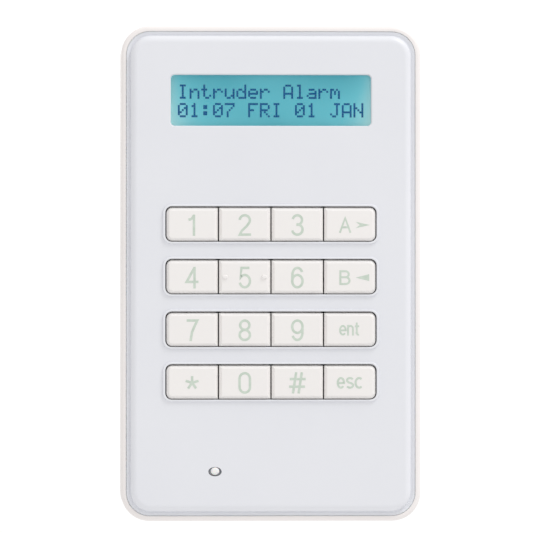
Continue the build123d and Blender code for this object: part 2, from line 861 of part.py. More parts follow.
def leaded_chip(label, centre, body, lead_rows):
    """A moulded chip on the board's back; lead_rows lists (count, pitch, width, turn) per side."""
    body_width, body_height, body_thickness = body
    with BuildPart() as chip:
        with BuildSketch(level(board_back_level - chip_standoff - body_thickness)):
            with Locations(centre):
                Rectangle(body_width, body_height)
        extrude(amount=body_thickness)
        chamfer(chip.faces().sort_by(Axis.Y)[-1].edges(), chip_chamfer)
        for count, pitch, width, turn in lead_rows:
            edge = body_width / 2 if turn in (0, 180) else body_height / 2
            side = Location((centre[0], centre[1], 0), (0, 0, turn))
            offsets = [(place - (count - 1) / 2) * pitch for place in range(count)]
            # Shoulder, drop and foot of every lead on this side.
            with BuildSketch(level(board_back_level - lead_height)):
                with Locations(side):
                    with Locations(*[(edge + shoulder_centre, offset) for offset in offsets]):
                        Rectangle(shoulder_length, width)
            extrude(amount=lead_thickness)
            with BuildSketch(level(board_back_level - lead_height)):
                with Locations(side):
                    with Locations(*[(edge + drop_centre, offset) for offset in offsets]):
                        Rectangle(lead_thickness, width)
            extrude(amount=lead_height)
            with BuildSketch(level(board_back_level - lead_thickness)):
                with Locations(side):
                    with Locations(*[(edge + foot_centre, offset) for offset in offsets]):
                        Rectangle(foot_length, width)
            extrude(amount=lead_thickness)
    save(chip, label)


leaded_chip(
    "microcontroller",
    (-2.0, -26.0),
    (10.0, 10.0, 1.4),
    [(11, 0.8, 0.35, turn) for turn in (0, 90, 180, 270)],
)
leaded_chip("bus_transceiver", (-14.0, -4.0), (4.0, 5.0, 1.45), [(4, 1.27, 0.42, 0), (4, 1.27, 0.42, 180)])
leaded_chip("regulator", (-24.0, -42.0), (3.5, 6.5, 1.6), [(3, 2.3, 0.7, 0), (1, 1.0, 3.0, 180)])

capacitor_centre = (-24.0, -22.0)
capacitor_base = 8.4
capacitor_base_thickness = 1.0
can_radius = 4.0
can_seat = 0.8
can_round = 0.5
can_groove_level = 14.4
can_groove_width = 0.7
can_groove_depth = 0.3

with BuildPart() as capacitor:
    with BuildSketch(level(board_back_level - capacitor_base_thickness)):
        with Locations(capacitor_centre):
            Rectangle(capacitor_base, capacitor_base)
    extrude(amount=capacitor_base_thickness)
    with BuildSketch(level(terminal_back_level)):
        with Locations(capacitor_centre):
            Circle(can_radius)
    extrude(amount=board_back_level - terminal_back_level - can_seat)
    fillet(capacitor.faces().sort_by(Axis.Y)[-1].edges(), can_round)
    with BuildSketch(level(can_groove_level)):
        with Locations(capacitor_centre):
            Circle(can_radius + can_groove_depth)
            Circle(can_radius - can_groove_depth, mode=Mode.SUBTRACT)
    extrude(amount=can_groove_width, mode=Mode.SUBTRACT)
save(capacitor, "capacitor")
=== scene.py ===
import bpy
import json
import math
import random
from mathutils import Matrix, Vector


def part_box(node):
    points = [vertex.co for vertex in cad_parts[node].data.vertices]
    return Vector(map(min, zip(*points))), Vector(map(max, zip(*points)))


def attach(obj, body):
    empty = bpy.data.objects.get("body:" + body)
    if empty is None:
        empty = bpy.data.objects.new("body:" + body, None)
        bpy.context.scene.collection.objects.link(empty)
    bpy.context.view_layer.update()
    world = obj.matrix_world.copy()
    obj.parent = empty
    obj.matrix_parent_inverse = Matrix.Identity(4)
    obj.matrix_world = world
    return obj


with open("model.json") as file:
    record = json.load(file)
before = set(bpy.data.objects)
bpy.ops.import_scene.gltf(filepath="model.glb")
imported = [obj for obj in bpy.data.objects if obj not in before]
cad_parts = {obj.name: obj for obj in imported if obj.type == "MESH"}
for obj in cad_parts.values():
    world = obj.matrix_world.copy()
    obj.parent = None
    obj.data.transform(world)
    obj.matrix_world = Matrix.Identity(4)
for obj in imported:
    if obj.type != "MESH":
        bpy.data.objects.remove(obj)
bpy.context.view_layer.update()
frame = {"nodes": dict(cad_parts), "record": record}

MM = 0.001
random.seed(7)

# Heights out from the wall, in mm: a point at height h is at y = -h. The last two are read from
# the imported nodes.
KEY_TOP = 30.95
PILL_TOP = 20.0
PIPE_COLLAR_TOP = 29.4
SEAL_BACK, SEAL_FRONT = 27.48, 27.95
GLASS_FRONT = -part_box("lcd_glass")[0].y / MM
BOARD_BACK = -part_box("main_board")[1].y / MM


def centre_mm(node):
    """(x, z) of the middle of a CAD node, in mm."""
    low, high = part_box(node)
    return (low.x + high.x) / 2 / MM, (low.z + high.z) / 2 / MM


# ---- Materials --------------------------------------------------------------------------

class Nodes:
    """A node material with short helpers. Texture space is the row frame, in metres."""

    def __init__(self, name):
        self.material = bpy.data.materials.new(name)
        self.material.use_nodes = True
        self.tree = self.material.node_tree
        self.bsdf = self.tree.nodes["Principled BSDF"]
        self.space = self.tree.nodes.new("ShaderNodeTexCoord").outputs["Object"]

    def link(self, source, target):
        self.tree.links.new(source, target)

    def noise(self, per_metre, detail=3.0, rough=0.55, stretch=None):
        """Noise of that many cells a metre; stretch squeezes it along an axis."""
        node = self.tree.nodes.new("ShaderNodeTexNoise")
        node.inputs["Scale"].default_value = per_metre
        node.inputs["Detail"].default_value = detail
        node.inputs["Roughness"].default_value = rough
        if stretch:
            mapping = self.tree.nodes.new("ShaderNodeMapping")
            mapping.inputs["Scale"].default_value = stretch
            self.link(self.space, mapping.inputs["Vector"])
            self.link(mapping.outputs["Vector"], node.inputs["Vector"])
        else:
            self.link(self.space, node.inputs["Vector"])
        return node.outputs["Fac"]

    def ramp(self, fac, stops):
        """Colour ramp; stops are (place, (r, g, b))."""
        node = self.tree.nodes.new("ShaderNodeValToRGB")
        elements = node.color_ramp.elements
        while len(elements) < len(stops):
            elements.new(0.5)
        for element, (place, colour) in zip(elements, stops):
            element.position = place
            element.color = (*colour, 1.0)
        self.link(fac, node.inputs["Fac"])
        return node.outputs["Color"]

    def span(self, fac, low, high):
        """fac from 0 to 1 becomes low to high."""
        node = self.tree.nodes.new("ShaderNodeMapRange")
        node.inputs["To Min"].default_value = low
        node.inputs["To Max"].default_value = high
        self.link(fac, node.inputs["Value"])
        return node.outputs["Result"]

    def mix(self, fac, first, second):
        node = self.tree.nodes.new("ShaderNodeMix")
        node.data_type = "RGBA"
        self.link(fac, node.inputs[0])
        for value, socket in ((first, node.inputs[6]), (second, node.inputs[7])):
            if isinstance(value, tuple):
                socket.default_value = (*value, 1.0)
            else:
                self.link(value, socket)
        return node.outputs[2]

    def axis(self, name):
        node = self.tree.nodes.new("ShaderNodeSeparateXYZ")
        self.link(self.space, node.inputs["Vector"])
        return node.outputs[name]

    def math(self, operation, first, second=0.0, clamp=False):
        node = self.tree.nodes.new("ShaderNodeMath")
        node.operation = operation
        node.use_clamp = clamp
        for value, socket in ((first, node.inputs[0]), (second, node.inputs[1])):
            if isinstance(value, (int, float)):
                socket.default_value = value
            else:
                self.link(value, socket)
        return node.outputs["Value"]

    def bump(self, height, strength, distance):
        node = self.tree.nodes.new("ShaderNodeBump")
        node.inputs["Strength"].default_value = strength
        node.inputs["Distance"].default_value = distance
        self.link(height, node.inputs["Height"])
        self.link(node.outputs["Normal"], self.bsdf.inputs["Normal"])

    def set(self, **values):
        for name, value in values.items():
            self.bsdf.inputs[name.replace("_", " ")].default_value = value


def moulded(name, light, dark, rough=(0.34, 0.46), grain=5200.0, depth=0.00002, sheen=0.5):
    """Moulded plastic: a spark-eroded grain, faint flow shading and uneven gloss."""
    n = Nodes(name)
    clouds = n.noise(28.0, 4.0)
    n.link(n.ramp(clouds, [(0.3, dark), (0.7, light)]), n.bsdf.inputs["Base Color"])
    n.link(n.span(n.noise(140.0, 5.0), *rough), n.bsdf.inputs["Roughness"])
    n.bump(n.noise(grain, 2.0), 0.35, depth)
    n.set(Specular_IOR_Level=sheen, IOR=1.5)
    return n.material


def brushed(name, light, dark, stretch=(1.0, 1.0, 14.0), rough=(0.22, 0.42)):
    """Bare or plated metal with fine drawn lines along one axis."""
    n = Nodes(name)
    lines = n.noise(900.0, 6.0, 0.65, stretch)
    n.link(n.ramp(lines, [(0.25, dark), (0.75, light)]), n.bsdf.inputs["Base Color"])
    n.link(n.span(lines, *rough), n.bsdf.inputs["Roughness"])
    n.bump(lines, 0.25, 0.00001)
    n.set(Metallic=1.0)
    return n.material


KEYMAT_COLOURS = ((0.66, 0.69, 0.68), (0.58, 0.61, 0.60))


def rubber(name, light, dark):
    """Silicone: soft, slightly dusty and see-through at its edges."""
    n = Nodes(name)
    n.link(n.ramp(n.noise(90.0, 5.0), [(0.3, dark), (0.7, light)]), n.bsdf.inputs["Base Color"])
    n.link(n.span(n.noise(600.0, 4.0), 0.48, 0.66), n.bsdf.inputs["Roughness"])
    n.bump(n.noise(2600.0, 3.0), 0.3, 0.00002)
    n.set(Subsurface_Weight=0.15, Subsurface_Scale=0.002, Specular_IOR_Level=0.35)
    return n


def plunger_silicone():
    """The keymat's silicone with a black carbon pill on the end that meets the board."""
    n = rubber("silicone_with_pill", *KEYMAT_COLOURS)
    base = n.bsdf.inputs["Base Color"].links[0].from_socket
    pill = n.math("GREATER_THAN", n.axis("Y"), -PILL_TOP * MM)
    n.link(n.mix(pill, base, (0.015, 0.015, 0.016)), n.bsdf.inputs["Base Color"])
    return n.material


def clear_window():
    """Clear polished plastic with faint wipe marks."""
    n = Nodes("clear_window")
    n.set(Transmission_Weight=1.0, IOR=1.2, Base_Color=(0.97, 0.985, 0.985, 1.0))
    n.link(n.span(n.noise(220.0, 5.0, 0.6, (1.0, 1.0, 3.0)), 0.0, 0.05), n.bsdf.inputs["Roughness"])
    return n.material


def display_glass():
    """The lit display: teal, brighter towards both ends, where the lamps stand, painted darker
    towards the top and brighter towards the bottom as painted shade of the opening's upper edge, with
    faint clouds from the light guide."""
    n = Nodes("display_glass")
    half_width, half_height, middle_z = 30.25 * MM, 7.7 * MM, 52.3 * MM
    across = n.math("DIVIDE", n.math("ABSOLUTE", n.axis("X")), half_width)
    ends = n.math("POWER", across, 7.0, clamp=True)
    # Painted shade: above the middle the colour is darkened and below it lifted, most towards the
    # ends, for the shade that the opening's upper edge casts on the display.
    drop = n.math("SUBTRACT", middle_z, n.axis("Z"))
    low = n.math("MULTIPLY", n.math("DIVIDE", drop, half_height), 0.22)
    glow = n.math("ADD", n.math("MULTIPLY", ends, 0.62), n.math("MULTIPLY", low, across))
    patches = n.math("MULTIPLY", n.math("SUBTRACT", n.noise(60.0, 3.0), 0.5), 0.22)
    fac = n.math("ADD", n.math("ADD", glow, 0.16), patches, clamp=True)
    colour = n.ramp(
        fac,
        [(0.0, (0.055, 0.305, 0.375)), (0.35, (0.105, 0.405, 0.470)), (1.0, (0.34, 0.60, 0.62))],
    )
    n.link(colour, n.bsdf.inputs["Base Color"])
    n.link(colour, n.bsdf.inputs["Emission Color"])
    n.set(Emission_Strength=0.62, Roughness=0.25, Specular_IOR_Level=0.3)
    n.bump(n.noise(2500.0, 2.0), 0.1, 0.00001)
    return n.material


def light_guide():
    n = Nodes("light_guide")
    n.link(
        n.ramp(n.noise(400.0, 3.0), [(0.3, (0.34, 0.70, 0.72)), (0.7, (0.46, 0.80, 0.80))]),
        n.bsdf.inputs["Base Color"],
    )
    n.set(Emission_Color=(0.25, 0.70, 0.74, 1.0), Emission_Strength=0.4, Roughness=0.2)
    n.bump(n.noise(1800.0, 2.0), 0.15, 0.00002)
    return n.material


def liquid_crystal():
    """Switched-on dots of the display: deep blue, slightly uneven."""
    n = Nodes("liquid_crystal")
    n.link(
        n.ramp(n.noise(1500.0, 3.0), [(0.3, (0.001, 0.070, 0.210)), (0.7, (0.002, 0.095, 0.260))]),
        n.bsdf.inputs["Base Color"],
    )
    n.link(n.span(n.noise(900.0), 0.3, 0.45), n.bsdf.inputs["Roughness"])
    n.set(Emission_Color=(0.0, 0.10, 0.30, 1.0), Emission_Strength=0.3, Specular_IOR_Level=0.2)
    return n.material


def legend_ink():
    """Pale green-grey legend ink, a little thin in places."""
    n = Nodes("legend_ink")
    n.link(
        n.ramp(n.noise(700.0, 4.0), [(0.3, (0.520, 0.610, 0.525)), (0.7, (0.610, 0.695, 0.610))]),
        n.bsdf.inputs["Base Color"],
    )
    n.link(n.span(n.noise(1200.0, 3.0), 0.42, 0.58), n.bsdf.inputs["Roughness"])
    n.bump(n.noise(4500.0, 2.0), 0.2, 0.00001)
    return n.material


def light_pipe():
    """Milky light pipe: its dome is polished white, and its collar is dull and coloured grey as
    painted shade for the gap round the dome.
    """
    n = Nodes("light_pipe")
    dome = n.ramp(n.noise(500.0, 3.0), [(0.3, (0.80, 0.81, 0.82)), (0.7, (0.90, 0.90, 0.90))])
    # Painted shade: the collar below the dome is coloured dark grey to stand for the shade in the gap
    # round it.
    painted_shade_collar = n.math("GREATER_THAN", n.axis("Y"), -PIPE_COLLAR_TOP * MM)
    n.link(n.mix(painted_shade_collar, dome, (0.30, 0.31, 0.33)), n.bsdf.inputs["Base Color"])
    n.link(n.span(painted_shade_collar, 0.16, 0.55), n.bsdf.inputs["Roughness"])
    n.set(Subsurface_Weight=0.1, Subsurface_Scale=0.0005)
    n.bump(n.noise(1600.0, 2.0), 0.08, 0.00001)
    return n.material


def circuit_board():
    """Green solder mask: copper shows through as lighter islands with straight edges."""
    n = Nodes("circuit_board")
    weave = n.noise(1500.0, 3.0, 0.5, (1.0, 1.0, 0.2))
    brick = n.tree.nodes.new("ShaderNodeTexBrick")
    brick.inputs["Scale"].default_value = 130.0
    brick.inputs["Mortar Size"].default_value = 0.035
    brick.inputs["Color1"].default_value = (0.006, 0.105, 0.040, 1.0)
    brick.inputs["Color2"].default_value = (0.010, 0.145, 0.058, 1.0)
    brick.inputs["Mortar"].default_value = (0.004, 0.060, 0.024, 1.0)
    turn = n.tree.nodes.new("ShaderNodeMapping")
    turn.inputs["Rotation"].default_value = (math.pi / 2, 0.0, 0.0)
    n.link(n.space, turn.inputs["Vector"])
    n.link(turn.outputs["Vector"], brick.inputs["Vector"])
    edge = n.ramp(weave, [(0.35, (0.005, 0.085, 0.033)), (0.65, (0.010, 0.130, 0.052))])
    blend = n.math("MULTIPLY", n.noise(60.0, 2.0), 0.9, clamp=True)
    n.link(n.mix(blend, edge, brick.outputs["Color"]), n.bsdf.inputs["Base Color"])
    n.link(n.span(weave, 0.26, 0.40), n.bsdf.inputs["Roughness"])
    n.bump(brick.outputs["Fac"], 0.3, 0.00003)
    return n.material


def led_resin():
    n = Nodes("led_resin")
    n.link(
        n.ramp(n.noise(1600.0, 3.0), [(0.3, (0.75, 0.66, 0.20)), (0.7, (0.86, 0.80, 0.42))]),
        n.bsdf.inputs["Base Color"],
    )
    n.set(Roughness=0.2, Coat_Weight=0.4)
    n.bump(n.noise(2400.0, 2.0), 0.1, 0.00001)
    return n.material


def simple_finish(name, light, dark, rough, per_metre=1500.0, metallic=0.0):
    """Small hard parts: slightly uneven colour and gloss with a fine surface."""
    n = Nodes(name)
    n.link(n.ramp(n.noise(per_metre, 3.0), [(0.3, dark), (0.7, light)]), n.bsdf.inputs["Base Color"])
    n.link(n.span(n.noise(per_metre * 1.7, 3.0), *rough), n.bsdf.inputs["Roughness"])
    n.bump(n.noise(per_metre * 2.5, 2.0), 0.2, 0.00001)
    n.set(Metallic=metallic)
    return n.material


BLACK = ((0.020, 0.020, 0.022), (0.012, 0.012, 0.013))
finishes = {
    "case_plastic": moulded("case_plastic", (0.872, 0.838, 0.826), (0.855, 0.822, 0.810)),
    "front_plastic": moulded("front_plastic", (0.778, 0.793, 0.832), (0.760, 0.776, 0.818)),
    "key_plastic": moulded(
        "key_plastic", (0.865, 0.846, 0.830), (0.848, 0.830, 0.815), (0.28, 0.40), 7000.0, 0.00001
    ),
    "clear_window": clear_window(),
    "display_glass": display_glass(),
    "light_guide": light_guide(),
    "plated_steel": brushed("plated_steel", (0.60, 0.60, 0.58), (0.46, 0.46, 0.45)),
    "zinc_steel": brushed("zinc_steel", (0.68, 0.68, 0.66), (0.50, 0.50, 0.50), (1.0, 1.0, 1.0)),
    "gold_pins": brushed("gold_pins", (0.86, 0.66, 0.30), (0.70, 0.50, 0.20)),
    "circuit_board": circuit_board(),
    "silicone": rubber("silicone", *KEYMAT_COLOURS).material,
    "black_plastic": moulded("black_plastic", *BLACK, (0.38, 0.55), 3800.0),
    "terminal_plastic": moulded(
        "terminal_plastic", (0.030, 0.235, 0.085), (0.022, 0.190, 0.066), (0.24, 0.38), 4200.0
    ),
    "rotor_plastic": moulded("rotor_plastic", (0.78, 0.74, 0.60), (0.70, 0.66, 0.52)),
    "chip_resin": moulded(
        "chip_resin", (0.026, 0.026, 0.028), (0.016, 0.016, 0.017), (0.45, 0.62), 3000.0
    ),
    "capacitor_can": brushed(
        "capacitor_can", (0.80, 0.80, 0.80), (0.66, 0.66, 0.66), (14.0, 1.0, 1.0)
    ),
    "led_resin": led_resin(),
    "light_pipe": light_pipe(),
}
pill_finish = plunger_silicone()
for part in frame["record"]["subparts"]:
    node = part["node"]
    finish = pill_finish if node.startswith("plunger_") else finishes[part["material_slot"]]
    data = frame["nodes"][node].data
    data.materials.clear()
    data.materials.append(finish)


# ---- Mesh helpers -------------------------------------------------------------------------

def to_frame(x, z, height):
    """Row-frame point, in metres, from mm across, mm up and mm out from the wall."""
    return (x * MM, -height * MM, z * MM)


def add_piece(name, verts, faces, material, body):
    """A mesh piece in the row frame that rides on a CAD body."""
    mesh = bpy.data.meshes.new(name)
    mesh.from_pydata(verts, [], faces)
    mesh.validate()
    piece = bpy.data.objects.new(name, mesh)
    bpy.context.scene.collection.objects.link(piece)
    mesh.materials.append(material)
    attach(piece, body)
    return piece


MITRE_LIMIT = 0.45


class Solids:
    """Collects closed solids for one mesh piece."""

    def __init__(self):
        self.verts = []
        self.faces = []

    def prism(self, outline, low, high):
        """Solid between two heights over a convex outline of (x, z), counter-clockwise."""
        base = len(self.verts)
        count = len(outline)
        self.verts += [to_frame(x, z, low) for x, z in outline]
        self.verts += [to_frame(x, z, high) for x, z in outline]
        self.faces.append(tuple(base + i for i in reversed(range(count))))
        self.faces.append(tuple(base + count + i for i in range(count)))
        for i in range(count):
            j = (i + 1) % count
            self.faces.append((base + i, base + j, base + count + j, base + count + i))

    def box(self, x, z, width, height, low, high):
        w, h = width / 2, height / 2
        self.prism([(x - w, z - h), (x + w, z - h), (x + w, z + h), (x - w, z + h)], low, high)

    def stroke(self, path, width, low, high, closed=False):
        """A pen stroke of even width along (x, z) points, with mitred corners that are kept
        short where the path turns sharply."""
        points = [Vector(p) for p in path]
        count = len(points)
        left, right = [], []
        for i, point in enumerate(points):
            before = points[i - 1] if (i or closed) else None
            after = points[(i + 1) % count] if (i < count - 1 or closed) else None
            into = (point - before).normalized() if before is not None else None
            away = (after - point).normalized() if after is not None else None
            into = into or away
            away = away or into
            along = (into + away).normalized()
            side = Vector((-along.y, along.x))
            reach = width / 2 / max(MITRE_LIMIT, side.dot(Vector((-into.y, into.x))))
            left.append(point + side * reach)
            right.append(point - side * reach)
        base = len(self.verts)
        for height in (low, high):
            self.verts += [to_frame(p.x, p.y, height) for p in left]
            self.verts += [to_frame(p.x, p.y, height) for p in right]
        bottom_left, bottom_right = base, base + count
        top_left, top_right = base + 2 * count, base + 3 * count
        for i in range(count if closed else count - 1):
            j = (i + 1) % count
            self.faces.append((top_right + i, top_right + j, top_left + j, top_left + i))
            self.faces.append((bottom_left + i, bottom_left + j, bottom_right + j, bottom_right + i))
            self.faces.append((top_left + i, top_left + j, bottom_left + j, bottom_left + i))
            self.faces.append((bottom_right + i, bottom_right + j, top_right + j, top_right + i))
        if not closed:
            e = count - 1
            self.faces.append((top_right, top_left, bottom_left, bottom_right))
            self.faces.append((top_left + e, top_right + e, bottom_right + e, bottom_left + e))

    def piece(self, name, material, body, slot=None):
        return add_piece(name, self.verts, self.faces, material, body)


def arc(cx, cz, rx, rz, start, end, steps=16):
    """Points on an ellipse arc, angles in degrees."""
    return [
        (
            cx + rx * math.cos(math.radians(start + (end - start) * i / steps)),
            cz + rz * math.sin(math.radians(start + (end - start) * i / steps)),
        )
        for i in range(steps + 1)
    ]


def ring(cx, cz, rx, rz, steps=36):
    return arc(cx, cz, rx, rz, 0, 360, steps)[:-1]


def rounded_rectangle(width, height, radius, steps=10):
    w, h = width / 2 - radius, height / 2 - radius
    return (
        arc(w, h, radius, radius, 0, 90, steps) + arc(-w, h, radius, radius, 90, 180, steps)
        + arc(-w, -h, radius, radius, 180, 270, steps) + arc(w, -h, radius, radius, 270, 360, steps)
    )


# ---- Legends on the keys --------------------------------------------------------------------
# Each glyph is a list of strokes, and a stroke is (points, closed), in mm round the glyph's middle.
# W and H are half the width and height of the digits' centre lines.

W, H = 1.56, 2.92
DIGIT_PEN = 0.74
oval_zero = arc(0, H - 1.62, W, 1.62, 0, 180) + arc(0, -H + 1.62, W, 1.62, 180, 360)
six_tail = arc(0.02, 0.95, 1.5, H - 0.95, 22, 180) + [(-W, -1.05)]
GLYPHS = {
    "0": [(oval_zero, True)],
    "1": [([(0.55, -H - 0.36), (0.55, H + 0.2)], False),
          ([(-1.1, 1.55), (-0.4, 1.72), (0.15, 2.15), (0.46, 2.85)], False)],
    "2": [(arc(0, H - 1.5, W - 0.03, 1.5, 176, -28) + [(0.6, -0.35), (-0.9, -1.75), (-1.5, -H),
          (W + 0.35, -H)], False)],
    "3": [(arc(0, 1.5, 1.4, 1.42, 168, -84) + [(-0.3, 0.12)], False),
          ([(-0.3, 0.12)] + arc(0, -1.38, W, 1.54, 88, -170), False)],
    "4": [([(0.72, -H - 0.36), (0.72, H + 0.3)], False),
          ([(0.66, H), (-W - 0.1, -1.3), (W + 0.35, -1.3)], False)],
    "5": [([(1.4, H), (-0.98, H), (-1.32, -0.1)] + arc(0, -1.06, W, 1.86, 132, -165), False)],
    "6": [(ring(0, -1.06, W, 1.86), True), (six_tail, False)],
    "7": [([(-W - 0.1, H), (W, H), (0.7, 1.2), (-0.05, -0.7), (-0.48, -H - 0.36)], False)],
    "8": [(ring(0, 1.53, 1.38, 1.39), True), (ring(0, -1.42, W, 1.5), True)],
    "9": [(ring(0, 1.06, W, 1.86), True), ([(-x, -z) for x, z in six_tail], False)],
    "star": [([(0, 0), (2.05 * math.cos(math.radians(a)), 2.05 * math.sin(math.radians(a)))], False)
             for a in (90, 18, 162, -54, -126)],
    "hash": [([(-1.35, -3.2), (-0.35, 3.2)], False), ([(0.35, -3.2), (1.35, 3.2)], False),
             ([(-2.3, 1.15), (2.5, 1.15)], False), ([(-2.5, -1.15), (2.3, -1.15)], False)],
    "A": [([(-1.6, -2.35), (0, 2.1), (1.6, -2.35)], False), ([(-1.05, -0.7), (1.05, -0.7)], False)],
    "B": [([(-1.35, -2.2), (-1.35, 2.2)], False),
          ([(-1.35, 1.92)] + arc(0.2, 1.02, 0.95, 0.9, 90, -90) + [(-1.35, 0.12)], False),
          ([(0.2, 0.12)] + arc(0.25, -0.9, 1.15, 1.02, 90, -90) + [(-1.35, -1.92)], False)],
    "e": [([(-0.58, -0.05), (0.85, -0.05)] + arc(0, 0, 0.85, 1.3, 6, 318, 24), False)],
    "n": [([(-0.75, -1.6), (-0.75, 1.6)], False),
          ([(-0.75, 0.5)] + arc(0, 0.45, 0.75, 0.85, 150, 0) + [(0.75, -1.6)], False)],
    "t": [([(-0.1, 2.3), (-0.1, -0.75)] + arc(0.42, -0.75, 0.52, 0.6, 180, 285, 8), False),
          ([(-0.65, 1.2), (0.6, 1.2)], False)],
    "s": [(arc(0, 0.66, 0.8, 0.64, 25, 200, 12) + [(-0.3, 0.08), (0.3, -0.08)]
          + arc(0, -0.66, 0.85, 0.64, 20, -155, 12), False)],
    "c": [(arc(0, 0, 0.95, 1.3, 48, 312, 24), False)],
}
# Keys with letters: (glyph, shift across, scale, pen width) for each letter.
LEGENDS = {
    "a": [("A", -1.45, 1.0, 0.60)],
    "b": [("B", -1.55, 1.0, 0.62)],
    "ent": [("e", -2.15, 1.0, 0.56), ("n", 0.15, 1.0, 0.54), ("t", 2.15, 1.0, 0.54)],
    "esc": [("e", -2.75, 1.12, 0.64), ("s", 0.0, 1.12, 0.62), ("c", 2.75, 1.12, 0.64)],
}
# Arrow heads, fanned out from their first point.
ARROWS = {
    "a": [(6.05, 0.0), (1.75, 0.95), (2.95, 0.0), (1.75, -0.95)],
    "b": [(5.8, 1.05), (1.7, 0.0), (5.8, -1.05)],
}
KEY_LABELS = (
    "1", "2", "3", "a", "4", "5", "6", "b", "7", "8", "9", "ent", "star", "0", "hash", "esc",
)
LEGEND_DROP = 0.2
INK_FOOT = KEY_TOP - 0.02
INK_TOP = KEY_TOP + 0.03
# Strokes that cross get slightly different tops, so that no two faces lie in one plane.
INK_STEP = 0.004
ink = legend_ink()
for label in KEY_LABELS:
    key_x, key_z = centre_mm("key_" + label)
    key_z -= LEGEND_DROP
    solids = Solids()
    layer = 0
    for glyph, dx, scale, pen in LEGENDS.get(label, [(label, 0.0, 1.0, DIGIT_PEN)]):
        for path, closed in GLYPHS[glyph]:
            points = [(key_x + dx + x * scale, key_z + z * scale) for x, z in path]
            solids.stroke(points, pen, INK_FOOT, INK_TOP + INK_STEP * layer, closed)
            layer += 1
    if label in ARROWS:
        outline = [(key_x + x, key_z + z) for x, z in ARROWS[label]]
        for i in range(1, len(outline) - 1):
            solids.prism([outline[0], outline[i], outline[i + 1]], INK_FOOT, INK_TOP)
    solids.piece("legend_" + label, ink, "key_" + label, "key_plastic")

# ---- Characters on the display ----------------------------------------------------------------
# Five by seven dots each, top row first.
DOT_FONT = {
    "I": ".###. ..#.. ..#.. ..#.. ..#.. ..#.. .###.",
    "n": "..... ..... #.##. ##..# #...# #...# #...#",
    "t": ".#... .#... ###.. .#... .#... .#..# ..##.",
    "r": "..... ..... #.##. ##..# #.... #.... #....",
    "u": "..... ..... #...# #...# #...# #..## .##.#",
    "d": "....# ....# .##.# #..## #...# #...# .####",
    "e": "..... ..... .###. #...# ##### #.... .###.",
    "A": ".###. #...# #...# #...# ##### #...# #...#",
    "l": ".##.. ..#.. ..#.. ..#.. ..#.. ..#.. .###.",
    "a": "..... ..... .###. ....# .#### #...# .####",
    "m": "..... ..... ##.#. #.#.# #.#.# #...# #...#",
    "0": ".###. #...# #..## #.#.# ##..# #...# .###.",
    "1": "..#.. .##.. ..#.. ..#.. ..#.. ..#.. .###.",
    ":": "..... .##.. .##.. ..... .##.. .##.. .....",
    "7": "##### ....# ...#. ..#.. .#... .#... .#...",
    "F": "##### #.... #.... ###.. #.... #.... #....",
    "R": "####. #...# #...# ####. #.#.. #..#. #...#",
    "J": "..### ...#. ...#. ...#. ...#. #..#. .##..",
    "N": "#...# #...# ##..# #.#.# #..## #...# #...#",
}
CHARACTER_COUNT = 16
CHARACTER_PITCH = 3.545
DOT_PITCH = (0.60, 0.62)
DOT_SIZE = (0.59, 0.61)
DOT_BAND = (GLASS_FRONT - 0.02, GLASS_FRONT + 0.04)
LINES = (("Intruder Alarm", 55.05), ("01:07 FRI 01 JAN", 49.45))
dots = Solids()
for text, line_z in LINES:
    for place, letter in enumerate(text):
        if letter == " ":
            continue
        middle = (place - (CHARACTER_COUNT - 1) / 2) * CHARACTER_PITCH
        for down, pattern in enumerate(DOT_FONT[letter].split()):
            for along, mark in enumerate(pattern):
                if mark == "#":
                    x = middle + (along - 2) * DOT_PITCH[0]
                    z = line_z + (3 - down) * DOT_PITCH[1]
                    dots.box(x, z, *DOT_SIZE, *DOT_BAND)
dots.piece("display_characters", liquid_crystal(), "front_unit", "display_glass")

# ---- Seal in the groove between the front and the rim -------------------------------------------
SEAL_OUTLINE = (87.31, 146.31, 7.15)
SEAL_WIDTH = 0.13
seal = Solids()
seal.stroke(rounded_rectangle(*SEAL_OUTLINE), SEAL_WIDTH, SEAL_BACK, SEAL_FRONT, closed=True)
white_rubber = rubber("white_rubber", (0.86, 0.86, 0.87), (0.80, 0.80, 0.81)).material
seal.piece("parting_seal", white_rubber, "rear_case", "silicone")

# ---- Small parts, solder and tracks on the main board's back ------------------------------------
# These show through the cable entry and when the front is swung open.

tin = simple_finish(
    "tinned_solder", (0.76, 0.76, 0.75), (0.58, 0.58, 0.58), (0.18, 0.32), metallic=1.0
)
ceramic = simple_finish("ceramic_parts", (0.42, 0.30, 0.17), (0.34, 0.24, 0.13), (0.40, 0.55))
track_mask = simple_finish("masked_copper", (0.018, 0.20, 0.075), (0.012, 0.155, 0.058), (0.24, 0.36))
print_white = simple_finish("board_print", (0.74, 0.75, 0.72), (0.64, 0.66, 0.62), (0.55, 0.70))

# Height bands out from the wall: the board's back faces the wall, so parts stand below BOARD_BACK.
BOARD_ROOT = BOARD_BACK + 0.05
TRACK = (BOARD_BACK - 0.04, BOARD_ROOT)
VIA = (BOARD_BACK - 0.05, BOARD_ROOT)
PRINT = (BOARD_BACK - 0.06, BOARD_ROOT)
PRINT_MARGIN = 0.7
PRINT_PEN = 0.18


def outline_of(node, margin):
    """Corners (x, z) of a rectangle round a CAD node, in mm."""
    low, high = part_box(node)
    x0, x1 = low.x / MM - margin, high.x / MM + margin
    z0, z1 = low.z / MM - margin, high.z / MM + margin
    return [(x0, z0), (x1, z0), (x1, z1), (x0, z1)]


def blocked(x, z, margin, taken):
    """True where a point is within the margin of a rectangle that is already taken."""
    return any(
        outline[0][0] - margin < x < outline[2][0] + margin
        and outline[0][1] - margin < z < outline[2][1] + margin
        for outline in taken
    )


big_parts = (
    "microcontroller", "bus_transceiver", "regulator", "capacitor", "sounder", "terminal_block",
    "address_switch_body", "tamper_switch_body",
)
taken = [outline_of(node, PRINT_MARGIN) for node in big_parts]
prints = Solids()
for outline in taken:
    prints.stroke(outline, PRINT_PEN, *PRINT, closed=True)

